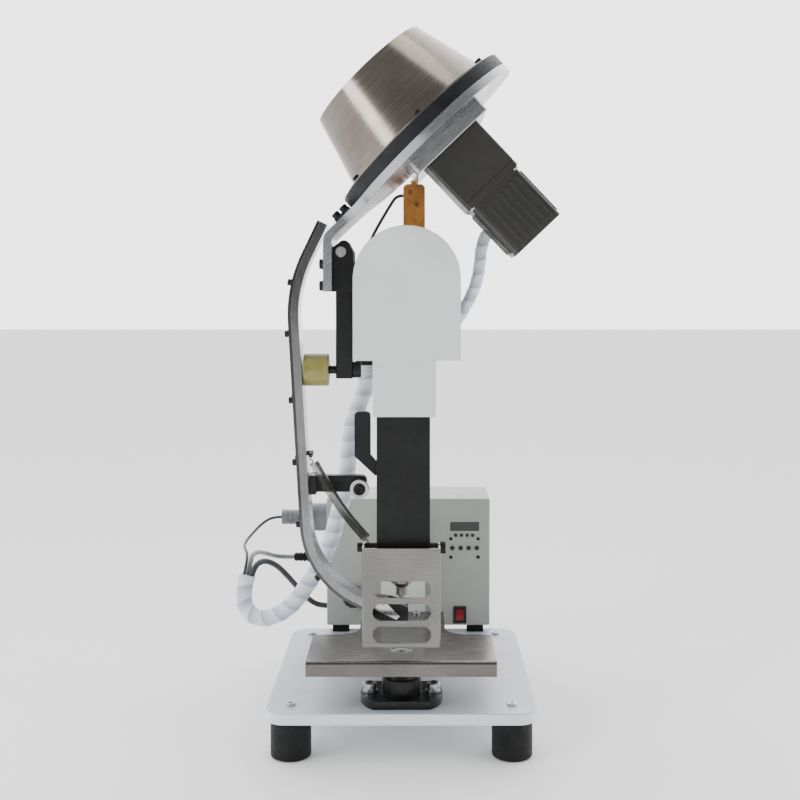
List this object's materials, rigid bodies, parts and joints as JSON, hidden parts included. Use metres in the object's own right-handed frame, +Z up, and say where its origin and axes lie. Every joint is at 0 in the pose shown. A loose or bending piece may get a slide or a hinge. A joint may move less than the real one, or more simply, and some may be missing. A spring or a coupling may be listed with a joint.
{
  "type": "capping machine",
  "caption": "Bench capping machine: C-frame press with crank-driven ram, punch and lower die, slotted guard, and a tilted motorised hopper on a swinging chute.",
  "frame": {"origin": "middle of the machine's footprint on the floor, without its loose cables", "axes": "+X to the operator's right, +Y away from the operator, +Z up along the ram"},
  "size_m": [0.4186, 0.505, 0.8729],
  "materials": {
    "base_plate": "powder coat",
    "rubber_feet": "matt",
    "frame_screws": "zinc plated",
    "die_post": "blackened",
    "lower_die": "ground",
    "work_table": "brushed",
    "c_frame": "paint",
    "head_plate": "blackened",
    "head_cover": "powder coat",
    "linkage_cover": "powder coat",
    "ram_housing": "blackened",
    "drive_motor": "paint",
    "crank": "turned",
    "ram": "ground",
    "punch": "hardened",
    "cam_plate": "blackened",
    "guard": "brushed",
    "guard_pins": "blackened",
    "stop_arm": "blackened",
    "stop_screw": "blackened",
    "bumper": "polyurethane",
    "hopper_drum": "brushed",
    "hopper_ring": "matt",
    "hopper_plate": "milled",
    "mount_plate": "milled",
    "gearbox": "paint",
    "hopper_motor": "paint",
    "hopper_brush": "matt",
    "clevis_cheeks": "blackened",
    "feeder_screws": "blackened",
    "pivot_pin": "ground",
    "chute_rail": "polished",
    "chute_cover": "polished",
    "chute_entry": "ground",
    "chute_nose": "blackened",
    "nose_guide": "ground",
    "lever_bar": "blackened",
    "cam_roller": "ground",
    "return_spring": "drawn wire",
    "box_shell": "powder coat",
    "panel_board": "circuit board",
    "display": "gloss",
    "switch_bezel": "gloss",
    "rocker": "gloss",
    "knob": "matt",
    "box_sockets": "matt",
    "round_plug": "matt",
    "strain_relief": "matt",
    "sensor_block": "moulded",
    "arm_glands": "matt",
    "sensor_lead": "cable sheath",
    "main_harness": "spiral wrap",
    "feed_harness": "spiral wrap",
    "plug_cable": "cable sheath",
    "inlet_cable": "cable sheath",
    "box_conduit": "cable sheath",
    "button_1": "moulded",
    "button_2": "moulded",
    "button_3": "moulded",
    "button_4": "moulded"
  },
  "bodies": {
    "frame": {"base_plate": "base_plate", "rubber_feet": "rubber_feet", "frame_screws": "frame_screws", "die_post": "die_post", "lower_die": "lower_die", "work_table": "work_table", "c_frame": "c_frame", "head_plate": "head_plate", "head_cover": "head_cover", "linkage_cover": "linkage_cover", "ram_housing": "ram_housing", "drive_motor": "drive_motor", "guard_pins": "guard_pins", "stop_arm": "stop_arm", "stop_screw": "stop_screw", "bumper": "bumper", "return_spring": "return_spring", "box_shell": "box_shell", "panel_board": "panel_board", "display": "display", "switch_bezel": "switch_bezel", "box_sockets": "box_sockets", "round_plug": "round_plug", "strain_relief": "strain_relief", "sensor_block": "sensor_block", "arm_glands": "arm_glands", "sensor_lead": "sensor_lead", "main_harness": "main_harness", "feed_harness": "feed_harness", "plug_cable": "plug_cable", "inlet_cable": "inlet_cable", "box_conduit": "box_conduit"},
    "crank": {"crank": "crank"},
    "ram": {"ram": "ram", "punch": "punch", "cam_plate": "cam_plate"},
    "feeder": {"hopper_drum": "hopper_drum", "hopper_ring": "hopper_ring", "hopper_plate": "hopper_plate", "mount_plate": "mount_plate", "gearbox": "gearbox", "hopper_motor": "hopper_motor", "clevis_cheeks": "clevis_cheeks", "feeder_screws": "feeder_screws", "pivot_pin": "pivot_pin", "chute_rail": "chute_rail", "chute_cover": "chute_cover", "chute_entry": "chute_entry", "chute_nose": "chute_nose", "nose_guide": "nose_guide", "lever_bar": "lever_bar"},
    "stirrer": {"hopper_brush": "hopper_brush"},
    "roller": {"cam_roller": "cam_roller"},
    "guard": {"guard": "guard"},
    "rocker": {"rocker": "rocker"},
    "knob": {"knob": "knob"},
    "button_1": {"button_1": "button_1"},
    "button_2": {"button_2": "button_2"},
    "button_3": {"button_3": "button_3"},
    "button_4": {"button_4": "button_4"}
  },
  "joints": [
    {"name": "ram_slide", "type": "slide", "parent": "frame", "child": "ram", "axis": [0, 0, 1], "range_m": [-0.058, 0]},
    {"name": "crank_turn", "type": "hinge", "parent": "frame", "child": "crank", "pos_m": [-0.0125, -0.1275, 0.545], "axis": [0, 1, 0], "range_deg": [0, 180.1]},
    {"name": "feeder_swing", "type": "hinge", "parent": "frame", "child": "feeder", "pos_m": [-0.0845, -0.1275, 0.6046], "axis": [0, 1, 0], "range_deg": [0, 6.25], "stiffness_Nm_per_rad": 21, "springref_deg": -47.15, "deforming": ["return_spring", "feed_harness"]},
    {"name": "hopper_stir", "type": "hinge", "parent": "feeder", "child": "stirrer", "pos_m": [0.009, -0.1275, 0.753], "axis": [-0.6896, 0, 0.7242], "continuous": true},
    {"name": "cam_roller_spin", "type": "hinge", "parent": "feeder", "child": "roller", "pos_m": [-0.0631, -0.139, 0.3195], "axis": [0, 1, 0], "continuous": true},
    {"name": "guard_tilt", "type": "hinge", "parent": "frame", "child": "guard", "pos_m": [-0.0125, -0.1435, 0.25], "axis": [-1, 0, 0], "range_deg": [0, 60]},
    {"name": "power_rocker", "type": "hinge", "parent": "frame", "child": "rocker", "pos_m": [0.069, 0.1495, 0.0865], "axis": [1, 0, 0], "range_deg": [-10, 0]},
    {"name": "speed_knob", "type": "hinge", "parent": "frame", "child": "knob", "pos_m": [-0.0855, 0.1495, 0.115], "axis": [0, 1, 0], "range_deg": [-135, 135]},
    {"name": "button_1_push", "type": "slide", "parent": "frame", "child": "button_1", "axis": [0, 1, 0], "range_m": [0, 0.001], "stiffness_N_per_m": 800},
    {"name": "button_2_push", "type": "slide", "parent": "frame", "child": "button_2", "axis": [0, 1, 0], "range_m": [0, 0.001], "stiffness_N_per_m": 800},
    {"name": "button_3_push", "type": "slide", "parent": "frame", "child": "button_3", "axis": [0, 1, 0], "range_m": [0, 0.001], "stiffness_N_per_m": 800},
    {"name": "button_4_push", "type": "slide", "parent": "frame", "child": "button_4", "axis": [0, 1, 0], "range_m": [0, 0.001], "stiffness_N_per_m": 800}
  ],
  "couplings": [
    {"joint": "crank_turn", "follows": "ram_slide", "rad_per_m": -54.165},
    {"joint": "feeder_swing", "follows": "ram_slide", "rad_per_m": -1.8657}
  ]
}
